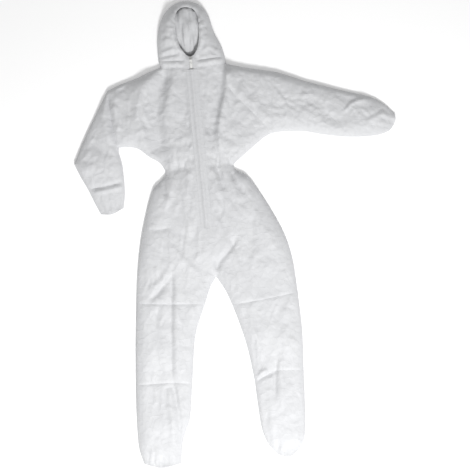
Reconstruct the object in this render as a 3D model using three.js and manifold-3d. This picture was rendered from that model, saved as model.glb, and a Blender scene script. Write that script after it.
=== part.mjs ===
// Hooded chemical protective coverall, laid out on its back. Millimetres, +Z up.
// The origin is the centre of the waist on the surface that the suit lies on. +Y runs up the front
// zip to the hood, and +X is the wearer's left. The left sleeve is stretched out, and the right one
// is folded down at the shoulder. Every panel is a thin wall, and the suit is hollow inside.
import * as THREE from "three";
import Module from "manifold-3d";

const wasm = await Module();
wasm.setup();

// ---------------------------------------------------------------- driving dimensions
const wall = 2; // thickness that a layer of fabric is given
const seamGap = 0.3; // between two pieces that are sewn or pressed together
const swingGap = 0.6; // round a sleeve or a leg that turns in the plane of the suit
const foldGap = 0.6; // across a line that the suit folds up along
const edgeHeight = 8; // a puffed tube is widest at this height
const loft = 46; // height of the chest, and so of the zip

// Trunk. A half width is measured from the zip, and a drop from the neck seam or the waist.
const backLength = 415; // waist to neck seam
const neckHalf = 138;
const shoulderHalf = 338;
const shoulderDrop = 50;
const underarmHalf = 284;
const underarmDrop = 303;
const waistHalf = 140;
const waistBand = 20; // length of the gathered waist
const hipDrop = 320;
const rise = 458; // waist to the end of the crotch
const crotchShift = 15; // the legs lie this far to the wearer's left of the zip
const gussetHalf = 42;
const collarHeight = 34;

// Hood.
const hoodLength = 240;
const hoodHalf = 134;
const hoodLoft = 64;
const crownHalf = 30; // half width of the top end of the hood
const faceHalfWidth = 50;
const faceHalfLength = 98;
const faceCentre = 112; // from the end of the collar

// Sleeves. Every direction is in degrees from +X. Points are set down from the neck seam.
const sleeveLoft = 40;
const cuffLoft = 24;
const cuffWidth = 92;
const shoulderPoint = [240, backLength - 150]; // where the left sleeve turns
const leftArmAngle = -14.7;
const armhole = 260;
const bicepsWidth = 245;
const elbowWidth = 205;
const upperArmLength = 225;
const forearmLength = 366;
const foldTop = [-354, backLength - 62]; // the right sleeve is folded down along this line
const foldBottom = [-330, backLength - 299];
const rightElbow = [-421, backLength - 371];
const rightForearmAngle = -78;
const elbowTuck = 20; // the inside of the right elbow is drawn in by this much
const rightForearmLength = 196; // the rest of it is bunched up

// Legs.
const hipSpread = 162; // from the middle of the crotch to the point where a leg turns
const hipWidth = 276; // of one leg
const thighLength = 550; // from there to the pressed fold below the knee
const shinLength = 333;
const thighWidth = 290;
const kneeWidth = 262;
const foldWidth = 224;
const calfWidth = 205;
const ankleWidth = 176;
const ankleMouth = 130;
const thighLoft = 40;
const foldLoft = 28;
const shinLoft = 34;
const ankleLoft = 24;
const thighAngle = { right: -99.4, left: -83.8 };
const shinAngle = { right: -96.5, left: -86 };

// How far each limb turns in the plane of the suit, in degrees from where it lies.
const swing = {
  leftShoulder: [-32, 20],
  leftElbow: [-25, 60],
  rightElbow: [-34, 30],
  rightHip: [-12, 0],
  leftHip: [0, 12],
};

// Zip, storm flap and elastics.
const slotHalf = 8; // half width of the opening between the two fronts
const tapeWidth = 16;
const tapeThickness = 0.8;
const rowGap = 1.2; // between the two rows of teeth
const rowWidth = 3;
const rowHeight = 2;
const zipEnd = -225; // bottom of the zip
const stopLength = 5;
const sliderLength = 16;
const sliderHalf = 5.5;
const plateThickness = 1.2;
const postWidth = 0.5;
const tabLength = 22;
const tabWidth = 9;
const tabThickness = 1.2;
const tabClearance = 0.6; // round the tab's bar, so that it can turn in its loop
const barWidth = 1.6; // of the tab's cross bar
const railWidth = 1.5; // of the tab beside its eye
const loopThickness = 0.9;
const flapHalf = 22;
const archHalf = 8; // half width of the flap's arch over the zip
const archRise = 6;
const flapThickness = 1.2;
const flapOverrun = 18; // the flap runs on past the bottom of the zip
const flapFromTab = 5; // it starts this far below the parked pull tab
const stripWidth = 6; // adhesive strip under the free edge of the flap
const stripThickness = 0.5;
const elasticThickness = 1.5;
const elasticWidth = 9;
const elasticInset = 6; // from the edge of a cuff
const faceElasticWidth = 8;

// ---------------------------------------------------------------- colours and finishes
const finish = (color, roughness, metalness = 0) =>
  new THREE.MeshStandardMaterial({ color, roughness, metalness });
const fabric = finish(0xf2f3f5, 0.85);
const elastic = finish(0xe6e6e4, 0.8);
const tape = finish(0xeeeeee, 0.75);
const plastic = finish(0xf4f4f2, 0.4);
const adhesive = finish(0xe9ead9, 0.5);

// ---------------------------------------------------------------- closed solids
const solidOf = (positions, index) => {
  const made = (triVerts) =>
    new wasm.Manifold(
      new wasm.Mesh({ numProp: 3, vertProperties: new Float32Array(positions), triVerts }),
    );
  const solid = made(new Uint32Array(index));
  return solid.volume() > 0 ? solid : made(new Uint32Array(index).reverse());
};
const triangulated = (corners) => THREE.ShapeUtils.triangulateShape(corners, []);

// Joins rings of points into one closed skin. A lid is flat, and its corners are the distance
// from the middle of the ring and the height.
const skin = (rings, lidCorners) => {
  const size = rings[0].length;
  const index = [];
  for (let i = 0; i < rings.length - 1; i++)
    for (let k = 0; k < size; k++) {
      const here = i * size + k;
      const next = i * size + ((k + 1) % size);
      index.push(here, next, here + size, next, next + size, here + size);
    }
  const last = (rings.length - 1) * size;
  for (const [a, b, c] of triangulated(lidCorners))
    index.push(b, a, c, last + a, last + b, last + c);
  return solidOf(rings.flat(2), index);
};

const prism = (outline, low, high) => {
  const corners = outline.map(([x, y]) => new THREE.Vector2(x, y));
  const size = corners.length;
  const index = [];
  for (const [a, b, c] of triangulated(corners))
    index.push(b, a, c, a + size, b + size, c + size);
  const turn = THREE.ShapeUtils.isClockWise(corners) ? -1 : 1;
  for (let k = 0; k < size; k++) {
    const next = (k + 1) % size;
    const side = [k, next, k + size, next, next + size, k + size];
    index.push(...(turn > 0 ? side : side.reverse()));
  }
  const level = (z) => corners.flatMap((corner) => [corner.x, corner.y, z]);
  return solidOf([...level(low), ...level(high)], index);
};

const block = ([x0, y0, z0], [x1, y1, z1]) => {
  const outline = [
    [x0, y0],
    [x1, y0],
    [x1, y1],
    [x0, y1],
  ];
  return prism(outline, z0, z1);
};

const ovalSides = 36;
const oval = ([x, y], halfWidth, halfLength = halfWidth) =>
  new THREE.EllipseCurve(x, y, halfWidth, halfLength)
    .getPoints(ovalSides)
    .slice(0, -1)
    .map((point) => [point.x, point.y]);

const joined = (solids) => solids.reduce((all, one) => all.add(one));
const ground = -50; // lower than anything
const sky = 300; // higher than anything
const reach = 3000; // further than anything
const above = (z) => block([-reach, -reach, z], [reach, reach, sky]);
const below = (z) => block([-reach, -reach, ground], [reach, reach, z]);
const rows = (y0, y1) => block([-reach, y0, ground], [reach, y1, sky]);
const columns = (x0, x1) => block([x0, -reach, ground], [x1, reach, sky]);

// ---------------------------------------------------------------- directions in the plane
const radians = THREE.MathUtils.degToRad;
const degrees = THREE.MathUtils.radToDeg;
const lerp = THREE.MathUtils.lerp;
const ahead = ([x, y], angle, distance) => [
  x + distance * Math.cos(radians(angle)),
  y + distance * Math.sin(radians(angle)),
];
const turned = (point, [x, y], angle) =>
  new THREE.Vector2(...point).rotateAround(new THREE.Vector2(x, y), radians(angle)).toArray();
const middle = ([a, b], [c, d]) => [(a + c) / 2, (b + d) / 2];
const direction = ([x0, y0], [x1, y1]) => degrees(Math.atan2(y1 - y0, x1 - x0));

// The ground between two distances ahead of a line that is crossed at a right angle.
const stretch = (point, angle, from, to) => {
  const corner = (side, distance) => ahead(ahead(point, angle + 90, side), angle, distance);
  return prism(
    [corner(-reach, from), corner(-reach, to), corner(reach, to), corner(reach, from)],
    ground,
    sky,
  );
};

// ---------------------------------------------------------------- stations and tubes
// A station is where a tube of fabric is cut across: its two edges, and its height.
const across = (centre, angle, width, height) => ({
  edges: [ahead(centre, angle + 90, width / 2), ahead(centre, angle - 90, width / 2)],
  height,
});
const level = (y, half, height = loft, shift = 0) => across([shift, y], -90, 2 * half, height);

// The section of a puffed tube: flat underneath and on top, with sloping sides. Breaks in the
// slope are given as shares of the height, inwards from the side seam and up from the ground.
const soleInset = 10;
const lowerBreak = { inwards: 0.22, up: 0.72 };
const upperBreak = { inwards: 0.55, up: 1 };
const sideThinning = 1.35; // a sloping side is moved further than a level one, to keep its wall
const sectionOf = ({ edges: [a, b], height }, inset) => {
  const half = Math.hypot(b[0] - a[0], b[1] - a[1]) / 2 - inset * sideThinning;
  const side = [
    [half - soleInset, 0],
    [half, edgeHeight],
    [half - lowerBreak.inwards * height, lowerBreak.up * height],
    [half - upperBreak.inwards * height, upperBreak.up * height],
  ];
  const otherSide = side.map(([s, z]) => [-s, z]).reverse();
  const squeezed = ([s, z]) => new THREE.Vector2(s, inset + (z * (height - 2 * inset)) / height);
  return [...side, ...otherSide].map(squeezed);
};
const ringOf = (station, inset) => {
  const [a, b] = station.edges;
  const centre = middle(a, b);
  const across = direction(a, b);
  return sectionOf(station, inset).map(({ x: s, y: z }) => [...ahead(centre, across, s), z]);
};
const tube = (stations, inset = 0) =>
  skin(
    stations.map((station) => ringOf(station, inset)),
    sectionOf(stations[0], inset),
  );

// The station moved away from its neighbour, or towards it if the distance is negative.
const moved = (station, neighbour, distance) => {
  const edges = station.edges.map((point, i) =>
    ahead(point, direction(neighbour.edges[i], point), distance),
  );
  return { edges, height: station.height };
};
const mouth = 30; // a hollow is carried this far past an open end
const hollow = (stations, inset, { start, end }) => {
  const first = moved(stations[0], stations[1], start === "open" ? mouth : -wall);
  const last = moved(stations.at(-1), stations.at(-2), end === "open" ? mouth : -wall);
  const before = start === "open" ? [first, stations[0]] : [first];
  const after = end === "open" ? [stations.at(-1), last] : [last];
  return tube([...before, ...stations.slice(1, -1), ...after], inset);
};
const bothOpen = { start: "open", end: "open" };
const shellOf = (stations, ends = bothOpen) =>
  tube(stations).subtract(hollow(stations, wall, ends));

// ---------------------------------------------------------------- outlines
const neckY = backLength;
const shoulderY = neckY - shoulderDrop;
const underarmY = neckY - underarmDrop;
const hipY = -hipDrop;
const hipRadius = hipWidth / 2;
const hipHalf = hipSpread + hipRadius;
const collarTop = neckY + collarHeight;

const shoulderSlope = (down, out) =>
  level(neckY - down * shoulderDrop, lerp(neckHalf, shoulderHalf, out));
const flank = (up, out) => level(up * underarmY, lerp(waistHalf, underarmHalf, out));
const hipCurve = (down, out) =>
  level(down * hipY, lerp(waistHalf, hipHalf, out), loft, down * crotchShift);
const trunkStations = [
  shoulderSlope(0, 0),
  shoulderSlope(0.15, 0.15),
  shoulderSlope(0.5, 0.55),
  shoulderSlope(1, 1),
  flank(1, 1),
  flank(0.55, 0.53),
  flank(0.2, 0.17),
  level(0, waistHalf),
  level(-waistBand, waistHalf),
  hipCurve(0.22, 0.41),
  hipCurve(0.53, 0.7),
  hipCurve(1, 1),
  level(-rise, hipHalf, loft, crotchShift),
];

const collarOverlap = 20; // the collar's tube starts this far inside the trunk
const collarStations = [level(neckY - collarOverlap, neckHalf), level(collarTop, neckHalf)];

const hoodAt = (up, half, height, shift = 0) =>
  level(collarTop + foldGap + up * hoodLength, half, height, shift);
const hoodStations = [
  hoodAt(1, crownHalf, 0.3 * hoodLoft, -14),
  hoodAt(0.94, lerp(crownHalf, hoodHalf, 0.25), 0.5 * hoodLoft, -12),
  hoodAt(0.83, 0.64 * hoodHalf, 0.78 * hoodLoft, -12),
  hoodAt(0.65, 0.8 * hoodHalf, 0.97 * hoodLoft, -11),
  hoodAt(0.42, 0.89 * hoodHalf, hoodLoft, -8),
  hoodAt(0.15, hoodHalf, lerp(loft, hoodLoft, 0.35)),
  hoodAt(0, neckHalf, loft),
];

const armStation = (distance, width) =>
  across(ahead(shoulderPoint, leftArmAngle, distance), leftArmAngle, width, sleeveLoft);
const elbowPoint = ahead(shoulderPoint, leftArmAngle, upperArmLength);
const leftUpperStations = [
  armStation(-armhole / 2 - swingGap, armhole),
  armStation(0, armhole),
  armStation(upperArmLength / 2, bicepsWidth),
  armStation(upperArmLength, elbowWidth),
];
const forearmStations = (elbow, angle, length) => {
  const at = (share, width, height = sleeveLoft) =>
    across(ahead(elbow, angle, share * length), angle, width, height);
  return [
    at((-elbowWidth / 2 - swingGap) / length, elbowWidth),
    at(0, elbowWidth),
    at(0.4, 0.93 * elbowWidth),
    at(0.74, 0.78 * elbowWidth, lerp(sleeveLoft, cuffLoft, 0.2)),
    at(0.92, lerp(cuffWidth, elbowWidth, 0.3), lerp(sleeveLoft, cuffLoft, 0.7)),
    at(1, cuffWidth, cuffLoft),
  ];
};
const leftForearmStations = forearmStations(elbowPoint, leftArmAngle, forearmLength);
const rightForearmStations = forearmStations(rightElbow, rightForearmAngle, rightForearmLength);
const foldMiddle = middle(foldTop, foldBottom);
const foldAngle = direction(foldBottom, foldTop) + 90;
const rightUpperAngle = direction(foldMiddle, rightElbow);
const rightFold = { edges: [foldBottom, foldTop], height: sleeveLoft };
const rightBendAngle = (rightUpperAngle + rightForearmAngle) / 2;
const rightBend = ahead(rightElbow, rightBendAngle - 90, elbowTuck / 2);
const rightUpperStations = [
  rightFold,
  across(rightBend, rightBendAngle, elbowWidth - elbowTuck, sleeveLoft),
];
// Under the arm, the right sleeve is one with the trunk.
const stubLength = 0.4 * shoulderHalf;
const stubStations = [
  {
    edges: rightFold.edges.map((point) => ahead(point, foldAngle + 180, stubLength)),
    height: sleeveLoft,
  },
  rightFold,
];

const legOf = (side) => {
  const out = side === "left" ? 1 : -1;
  const pivot = [crotchShift + out * hipSpread, hipY];
  const angle = thighAngle[side];
  const down = shinAngle[side];
  const foldDirection = (angle + down) / 2;
  const fold = ahead(pivot, angle, thighLength);
  const onThigh = (distance, width, height) =>
    across(ahead(pivot, angle, distance), angle, width, height);
  const onShin = (share, width, height) =>
    across(ahead(fold, down, share * shinLength), down, width, height);
  const foldStation = across(fold, foldDirection, foldWidth, foldLoft);
  const thigh = [
    onThigh(-hipRadius - swingGap, hipWidth, loft),
    onThigh(0, hipWidth, loft),
    onThigh(0.3 * thighLength, thighWidth, lerp(loft, thighLoft, 0.8)),
    onThigh(0.65 * thighLength, kneeWidth, thighLoft),
    foldStation,
  ];
  const shin = [
    foldStation,
    onShin(0.42, calfWidth, shinLoft),
    onShin(0.8, ankleWidth, lerp(shinLoft, ankleLoft, 0.5)),
    onShin(1, ankleMouth, ankleLoft),
  ];
  return { side, pivot, angle, fold, foldDirection, down, thigh, shin };
};
const legs = { right: legOf("right"), left: legOf("left") };

// ---------------------------------------------------------------- room for the limbs to turn in
const planOf = (stations, gap) => {
  const wide = stations.map(({ edges: [a, b] }) => [
    ahead(a, direction(b, a), gap),
    ahead(b, direction(a, b), gap),
  ]);
  return [...wide.map(([a]) => a), ...wide.map(([, b]) => b).reverse()];
};
const swingSteps = 6;
const turningRoom = (stations, pivot, radius, [from, to]) => {
  const plan = planOf(stations.slice(1), swingGap);
  const rooms = [prism(oval(pivot, radius + swingGap), ground, sky)];
  for (let i = 0; i <= swingSteps; i++) {
    const angle = lerp(from, to, i / swingSteps);
    const outline = plan.map((point) => turned(point, pivot, angle));
    rooms.push(prism(outline, ground, sky));
  }
  return joined(rooms);
};
// The round end of a limb about its pivot, and all that lies ahead of it.
const fromPivot = (pivot, angle, radius) =>
  stretch(pivot, angle, 0, reach).add(prism(oval(pivot, radius), ground, sky));

const leftElbowRoom = turningRoom(
  leftForearmStations,
  elbowPoint,
  elbowWidth / 2,
  swing.leftElbow,
);
const rightElbowRoom = turningRoom(
  rightForearmStations,
  rightElbow,
  elbowWidth / 2,
  swing.rightElbow,
);
const leftArmRoom = turningRoom(
  [...leftUpperStations, ...leftForearmStations.slice(2)],
  shoulderPoint,
  armhole / 2,
  swing.leftShoulder,
);
const legRoom = ({ pivot, thigh, shin }, range) =>
  turningRoom([...thigh, ...shin.slice(1)], pivot, hipRadius, range);

// ---------------------------------------------------------------- the trunk and its openings
const trunk = joined([tube(trunkStations), tube(collarStations), tube(stubStations)])
  .subtract(hollow(trunkStations, wall, { start: "shut", end: "shut" }))
  .subtract(hollow(collarStations, wall, bothOpen))
  .subtract(hollow(stubStations, wall, { start: "shut", end: "open" }))
  .subtract(stretch(foldMiddle, foldAngle, 0, reach))
  .subtract(leftArmRoom)
  .subtract(legRoom(legs.right, swing.rightHip))
  .subtract(legRoom(legs.left, swing.leftHip));

const zipSlot = block([-slotHalf, zipEnd - stopLength, loft / 2], [slotHalf, collarTop + 1, sky]);
const gussetTop = hipY + hipRadius / 2;
const gussetRoom = (gap) =>
  block(
    [crotchShift - gussetHalf - gap, -reach, ground],
    [crotchShift + gussetHalf + gap, gussetTop + gap, sky],
  );
const bodice = trunk.subtract(rows(neckY, reach)).subtract(gussetRoom(seamGap));
// The back of the suit lies flat, and the front stands on its edge, where the side seams run.
const backHalf = (shell) => shell.intersect(below(wall));
const frontHalf = (shell) => shell.intersect(above(wall + seamGap));

// A band of elastic inside the mouth of a tube.
const bandInside = (stations, room) =>
  hollow(stations, wall + seamGap, bothOpen)
    .subtract(hollow(stations, wall + seamGap + elasticThickness, bothOpen))
    .intersect(room);
const cuffBand = (stations, angle) => {
  const end = middle(...stations.at(-1).edges);
  return bandInside(
    stations,
    stretch(end, angle, -elasticInset - elasticWidth, -elasticInset),
  );
};

// ---------------------------------------------------------------- the named pieces
const suit = new THREE.Group();
const add = (name, solid, material) => {
  const { vertProperties, triVerts } = solid.getMesh();
  const geometry = new THREE.BufferGeometry();
  geometry.setAttribute("position", new THREE.BufferAttribute(vertProperties, 3));
  geometry.setIndex(new THREE.BufferAttribute(triVerts, 1));
  geometry.computeVertexNormals();
  const mesh = new THREE.Mesh(geometry, material);
  mesh.name = name;
  suit.add(mesh);
};

const addHalves = (name, shell) => {
  add(`${name}_back`, backHalf(shell), fabric);
  add(`${name}_front`, frontHalf(shell), fabric);
};

const addTrunk = () => {
  const front = frontHalf(bodice).subtract(zipSlot);
  const frontSplit = block([-seamGap / 2, -reach, loft / 2], [seamGap / 2, reach, sky]);
  const fronts = front.subtract(frontSplit);
  add("back_panel", backHalf(bodice), fabric);
  add("front_right", fronts.intersect(columns(-reach, 0)), fabric);
  add("front_left", fronts.intersect(columns(0, reach)), fabric);
  add("crotch_gusset", trunk.intersect(gussetRoom(0)), fabric);
  const collar = trunk.intersect(rows(neckY + seamGap, reach)).subtract(zipSlot);
  add("collar_band", collar, fabric);
  const waistRoom = rows(-waistBand + seamGap, -waistBand + seamGap + elasticWidth);
  const waistBandSolid = bandInside(trunkStations, waistRoom).intersect(below(loft / 2));
  add("waist_elastic", waistBandSolid, elastic);
};

const addHood = () => {
  const hood = tube(hoodStations).subtract(
    hollow(hoodStations, wall, { start: "shut", end: "open" }),
  );
  const faceY = collarTop + foldGap + faceCentre;
  const face = (grown) => {
    const outline = oval([0, faceY], faceHalfWidth + grown, faceHalfLength + grown);
    return prism(outline, 2 * edgeHeight, sky);
  };
  const front = frontHalf(hood).subtract(face(0));
  add("hood_centre", backHalf(hood), fabric);
  add("hood_right", front.intersect(columns(-reach, -seamGap / 2)), fabric);
  add("hood_left", front.intersect(columns(seamGap / 2, reach)), fabric);
  const lining = hollow(hoodStations, wall + seamGap, { start: "shut", end: "open" }).subtract(
    hollow(hoodStations, wall + seamGap + elasticThickness, { start: "shut", end: "open" }),
  );
  const faceRing = lining
    .intersect(face(faceElasticWidth))
    .subtract(face(0))
    .subtract(rows(-reach, collarTop + foldGap));
  add("face_elastic", faceRing, elastic);
};

const topOfFronts = loft;
const tapeTop = loft - wall - seamGap;
const rowLow = tapeTop + seamGap;
const rowTop = rowLow + rowHeight;
const zipTop = collarTop - seamGap;
const sliderTop = zipTop - stopLength - seamGap;
const sliderBottom = sliderTop - sliderLength;
const plateLow = rowTop + seamGap;
const plateTop = plateLow + plateThickness;
const addZip = () => {
  for (const [side, out] of [
    ["right", -1],
    ["left", 1],
  ]) {
    const inner = (out * rowGap) / 2;
    const slab = (width, y0, y1, z0, z1) =>
      block(
        [Math.min(inner, inner + out * width), y0, z0],
        [Math.max(inner, inner + out * width), y1, z1],
      );
    const tapeLow = tapeTop - tapeThickness;
    add(`zip_tape_${side}`, slab(tapeWidth, zipEnd, zipTop, tapeLow, tapeTop), tape);
    const teethTop = zipTop - stopLength - seamGap;
    add(`zip_teeth_${side}`, slab(rowWidth, zipEnd, teethTop, rowLow, rowTop), plastic);
    const stop = slab(rowWidth, zipTop - stopLength, zipTop, rowLow, rowTop);
    add(`zip_top_stop_${side}`, stop, plastic);
  }
  const stopHalf = rowGap / 2 + rowWidth;
  const bottomStop = block(
    [-stopHalf, zipEnd - stopLength, tapeTop - tapeThickness],
    [stopHalf, zipEnd - seamGap, rowTop],
  );
  add("zip_bottom_stop", bottomStop, plastic);
};

const tabHinge = sliderBottom + 3; // the pull tab turns on a loop near the slider's lower end
const tabEnd = tabHinge - tabLength;
const tabLow = plateTop + tabClearance;
const tabTop = tabLow + tabThickness;
const addSlider = () => {
  const bottomPlateTop = tapeTop - tapeThickness - seamGap;
  const top = block([-sliderHalf, sliderBottom, plateLow], [sliderHalf, sliderTop, plateTop]);
  const flanges = [-1, 1].map((out) => {
    const near = out * (rowGap / 2 + rowWidth + seamGap);
    const far = out * sliderHalf;
    return block(
      [Math.min(near, far), sliderBottom, rowLow],
      [Math.max(near, far), sliderTop, plateLow],
    );
  });
  const post = block(
    [-postWidth / 2, sliderBottom + sliderLength / 2, bottomPlateTop - plateThickness],
    [postWidth / 2, sliderTop, plateLow],
  );
  const bottom = block(
    [-sliderHalf, sliderBottom, bottomPlateTop - plateThickness],
    [sliderHalf, sliderTop, bottomPlateTop],
  );
  // The loop that holds the tab is a staple over the tab's cross bar.
  const loopHalf = tabWidth / 2 - railWidth - tabClearance;
  const legGap = barWidth / 2 + tabClearance / 2;
  const loopEnd = legGap + loopThickness;
  const loopLow = tabTop + tabClearance;
  const loopLegs = [-loopEnd, legGap].map((from) =>
    block(
      [-loopHalf, tabHinge + from, plateTop],
      [loopHalf, tabHinge + from + loopThickness, loopLow],
    ),
  );
  const loopTop = block(
    [-loopHalf, tabHinge - loopEnd, loopLow],
    [loopHalf, tabHinge + loopEnd, loopLow + loopThickness],
  );
  add("slider_body", joined([top, ...flanges, post, bottom, ...loopLegs, loopTop]), plastic);

  const barHalf = barWidth / 2;
  const outline = block(
    [-tabWidth / 2, tabEnd, tabLow],
    [tabWidth / 2, tabHinge + barHalf, tabTop],
  );
  const eyeHalf = tabWidth / 2 - railWidth;
  const eye = block(
    [-eyeHalf, tabHinge - loopEnd - barWidth, ground],
    [eyeHalf, tabHinge - barHalf, sky],
  );
  add("pull_tab", outline.subtract(eye), plastic);
};

const addFlap = () => {
  const top = tabEnd - flapFromTab;
  const end = zipEnd - stopLength - flapOverrun;
  const stripLow = topOfFronts + seamGap;
  const flapLow = stripLow + stripThickness + seamGap;
  const section = [
    [-flapHalf, 0],
    [-archHalf, 0],
    [-archHalf + 2, archRise],
    [archHalf - 2, archRise],
    [archHalf, 0],
    [flapHalf, 0],
  ];
  const profile = [
    ...section.map(([x, z]) => [x, flapLow + z]),
    ...section.map(([x, z]) => [x, flapLow + z + flapThickness]).reverse(),
  ];
  const corners = profile.map(([x, z]) => new THREE.Vector2(x, z));
  const rings = [end, top].map((y) => profile.map(([x, z]) => [x, y, z]));
  add("storm_flap", skin(rings, corners), fabric);
  const stripSolid = block(
    [flapHalf - stripWidth - 2, end, stripLow],
    [flapHalf - 2, top, stripLow + stripThickness],
  );
  add("flap_adhesive_strip", stripSolid, adhesive);
};

const addSleeves = () => {
  const leftUpper = shellOf(leftUpperStations)
    .intersect(fromPivot(shoulderPoint, leftArmAngle, armhole / 2))
    .subtract(leftElbowRoom);
  const leftLower = shellOf(leftForearmStations).intersect(
    fromPivot(elbowPoint, leftArmAngle, elbowWidth / 2),
  );
  const rightUpper = shellOf(rightUpperStations)
    .intersect(stretch(foldMiddle, foldAngle, foldGap, reach))
    .subtract(rightElbowRoom);
  const rightLower = shellOf(rightForearmStations).intersect(
    fromPivot(rightElbow, rightForearmAngle, elbowWidth / 2),
  );
  addHalves("left_sleeve_upper", leftUpper);
  addHalves("left_sleeve_lower", leftLower);
  addHalves("right_sleeve_upper", rightUpper);
  addHalves("right_sleeve_lower", rightLower);
  add("left_wrist_elastic", cuffBand(leftForearmStations, leftArmAngle), elastic);
  add("right_wrist_elastic", cuffBand(rightForearmStations, rightForearmAngle), elastic);
};

const addLeg = ({ side, pivot, angle, fold, foldDirection, down, thigh, shin }) => {
  const upper = shellOf(thigh)
    .intersect(fromPivot(pivot, angle, hipRadius))
    .intersect(stretch(fold, foldDirection, -reach, 0));
  const lower = shellOf(shin).intersect(stretch(fold, foldDirection, foldGap, reach));
  addHalves(`${side}_thigh`, upper);
  addHalves(`${side}_shin`, lower);
  add(`${side}_ankle_elastic`, cuffBand(shin, down), elastic);
};

addTrunk();
addHood();
addZip();
addSlider();
addFlap();
addSleeves();
addLeg(legs.right);
addLeg(legs.left);

export default suit;
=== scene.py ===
# Hooded chemical protective coverall, laid out on its back. Metres, in the frame's own axes: the
# waist is at the origin, +Y runs up the zip, +X is the wearer's left and the front faces up.
import math

import bmesh
import bpy
import numpy as np
from mathutils import Matrix, Vector, geometry, kdtree, noise


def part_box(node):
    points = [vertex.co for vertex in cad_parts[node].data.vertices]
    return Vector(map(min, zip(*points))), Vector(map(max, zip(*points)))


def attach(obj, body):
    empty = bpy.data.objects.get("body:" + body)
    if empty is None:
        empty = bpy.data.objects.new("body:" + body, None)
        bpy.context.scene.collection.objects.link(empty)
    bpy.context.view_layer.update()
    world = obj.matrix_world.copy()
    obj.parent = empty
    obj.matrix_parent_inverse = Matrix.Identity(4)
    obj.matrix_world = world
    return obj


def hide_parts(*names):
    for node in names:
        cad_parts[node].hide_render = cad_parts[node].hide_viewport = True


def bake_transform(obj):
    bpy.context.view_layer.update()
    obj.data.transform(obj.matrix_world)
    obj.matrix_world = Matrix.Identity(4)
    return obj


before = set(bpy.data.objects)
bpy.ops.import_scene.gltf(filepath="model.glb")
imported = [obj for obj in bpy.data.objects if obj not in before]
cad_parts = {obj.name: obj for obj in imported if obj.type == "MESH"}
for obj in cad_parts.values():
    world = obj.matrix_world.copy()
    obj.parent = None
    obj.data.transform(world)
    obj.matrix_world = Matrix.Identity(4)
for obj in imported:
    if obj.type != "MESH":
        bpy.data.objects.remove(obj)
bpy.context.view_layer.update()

MM = 0.001

# ---------------------------------------------------------------- outline of the suit, in mm
# Each curve runs through a few points. The pieces of the suit are the loops between the curves.
CURVES = {
    "hood_rim": [(-133, 452), (-132, 500), (-128, 545), (-114, 602), (-86, 651), (-41, 683),
                 (9, 689), (58, 667), (88, 622), (106, 550), (131, 488), (141, 447)],
    "hood_seam": [(-133, 452), (-60, 446), (4, 442), (72, 442), (141, 447)],
    "collar_right": [(-133, 452), (-128, 428)],
    "collar_left": [(141, 447), (143, 418)],
    "shoulder_right": [(-128, 428), (-176, 413), (-234, 391), (-298, 374), (-354, 353)],
    "fold_right": [(-354, 353), (-351, 265), (-347, 195), (-337, 142), (-329, 117)],
    "underarm_right": [(-329, 117), (-297, 115), (-266, 110), (-240, 96), (-208, 66),
                       (-168, 38), (-149, 5)],
    "hip_right": [(-149, 5), (-151, -16), (-178, -42), (-209, -74), (-245, -170), (-279, -290),
                  (-303, -412), (-319, -529)],
    "crease_right": [(-319, -529), (-180, -545), (-37, -557)],
    "crotch_right": [(-37, -557), (-11, -494), (18, -451)],
    "crotch_left": [(18, -451), (49, -506), (73, -571)],
    "crease_left": [(73, -571), (210, -560), (347, -544)],
    "hip_left": [(133, 0), (140, -18), (163, -32), (198, -63), (266, -188), (316, -306),
                 (339, -412), (347, -544)],
    "flank_left": [(133, 0), (142, 10), (166, 28), (229, 74), (268, 101), (300, 116)],
    "armhole_left": [(143, 418), (139, 360), (146, 315), (184, 264), (230, 208), (267, 164),
                     (300, 116)],
    "upper_arm_top": [(143, 418), (190, 404), (239, 390), (340, 366), (410, 338), (467, 313)],
    "upper_arm_under": [(300, 116), (349, 119), (400, 114), (447, 109)],
    "elbow_left": [(467, 313), (458, 210), (447, 109)],
    "forearm_top": [(467, 313), (545, 285), (618, 259), (718, 226), (772, 192), (812, 150)],
    "forearm_under": [(447, 109), (519, 89), (620, 70), (723, 66), (782, 79), (806, 103)],
    "wrist_left": [(812, 150), (815, 127), (806, 103)],
    "sleeve_outer": [(-354, 353), (-412, 258), (-476, 149), (-519, 66)],
    "sleeve_inner": [(-329, 117), (-331, 96), (-324, 60), (-321, 40)],
    "elbow_right": [(-519, 66), (-420, 50), (-321, 40)],
    "forearm_outer": [(-519, 66), (-497, 11), (-471, -45), (-452, -95), (-429, -150)],
    "forearm_inner": [(-321, 40), (-320, -31), (-323, -80), (-333, -132)],
    "wrist_right": [(-429, -150), (-384, -153), (-333, -132)],
    "thigh_right_outer": [(-319, -529), (-337, -690), (-353, -862)],
    "thigh_right_inner": [(-37, -557), (-82, -660), (-101, -745), (-121, -880)],
    "knee_right": [(-353, -862), (-199, -867), (-121, -880)],
    "shin_right_outer": [(-353, -862), (-361, -1003), (-364, -1120), (-351, -1188)],
    "shin_right_inner": [(-121, -880), (-144, -1020), (-179, -1104), (-198, -1200)],
    "ankle_right": [(-351, -1188), (-280, -1211), (-198, -1200)],
    "thigh_left_inner": [(73, -571), (97, -656), (120, -761), (136, -896)],
    "thigh_left_outer": [(347, -544), (350, -701), (341, -865)],
    "knee_left": [(136, -896), (180, -876), (231, -857), (341, -865)],
    "shin_left_inner": [(136, -896), (139, -990), (146, -1093), (168, -1160), (203, -1203)],
    "shin_left_outer": [(341, -865), (334, -990), (327, -1090), (314, -1152), (289, -1192)],
    "ankle_left": [(203, -1203), (250, -1216), (289, -1192)],
}
STEP = 5.5 * MM  # spacing of the points on the front


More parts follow.
